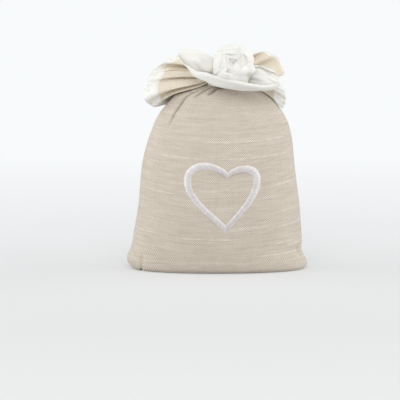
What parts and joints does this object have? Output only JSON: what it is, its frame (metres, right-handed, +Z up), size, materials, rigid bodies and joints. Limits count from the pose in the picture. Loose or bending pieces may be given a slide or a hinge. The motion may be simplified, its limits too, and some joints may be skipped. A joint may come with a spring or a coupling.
{
  "type": "drawstring gift pouch",
  "caption": "Filled linen gift pouch gathered at the neck, with a lace-edged frill, a white cloth rose and an embroidered heart outline.",
  "frame": {"origin": "on the floor, under the middle of the pouch", "axes": "+Z up through the gathered neck, -Y out of the front panel with the heart, +X to the right as seen from the front"},
  "size_m": [0.0996, 0.0569, 0.1295],
  "materials": {
    "linen": "matt slub linen, beige",
    "cotton": "matt cotton, white",
    "lace": "eyelet lace, off-white",
    "satin_thread": "satin-stitch thread, white with a silky sheen",
    "fibre": "loose fibre filling, white",
    "cord": "twisted cotton cord, cream"
  },
  "bodies": {
    "pouch": {"back_frill": "linen", "back_lace": "lace", "back_panel": "linen", "bottom_seam": "linen", "cradle_petal": "cotton", "filling": "fibre", "flower_backing": "cotton", "front_panel": "linen", "heart_embroidery": "satin_thread", "left_petal": "cotton", "left_side_seam": "linen", "neck_casing": "linen", "right_petal": "cotton", "right_side_seam": "linen", "rose_bud": "cotton", "rose_pad": "cotton", "rose_petal_01": "cotton", "rose_petal_02": "cotton", "rose_petal_03": "cotton", "rose_petal_04": "cotton", "rose_petal_05": "cotton", "rose_petal_06": "cotton", "rose_petal_07": "cotton", "rose_petal_08": "cotton", "rose_petal_09": "cotton", "rose_petal_10": "cotton", "rose_petal_11": "cotton", "rose_petal_12": "cotton"},
    "drawstring_loop": {"drawstring": "cord", "drawstring_knot": "cord"},
    "left_flap": {"left_frill": "linen", "left_lace": "lace"},
    "right_flap": {"right_frill": "linen", "right_lace": "lace"}
  },
  "joints": [
    {"name": "drawstring_run", "type": "hinge", "parent": "pouch", "child": "drawstring_loop", "pos_m": [0.0045, 0, 0.107], "axis": [0, 0, 1], "range_deg": [-11, 11]},
    {"name": "left_frill_lift", "type": "hinge", "parent": "pouch", "child": "left_flap", "pos_m": [0.0045, 0, 0.107], "axis": [0, 1, 0], "range_deg": [0, 55]},
    {"name": "right_frill_lift", "type": "hinge", "parent": "pouch", "child": "right_flap", "pos_m": [0.0045, 0, 0.107], "axis": [0, -1, 0], "range_deg": [0, 55]}
  ]
}
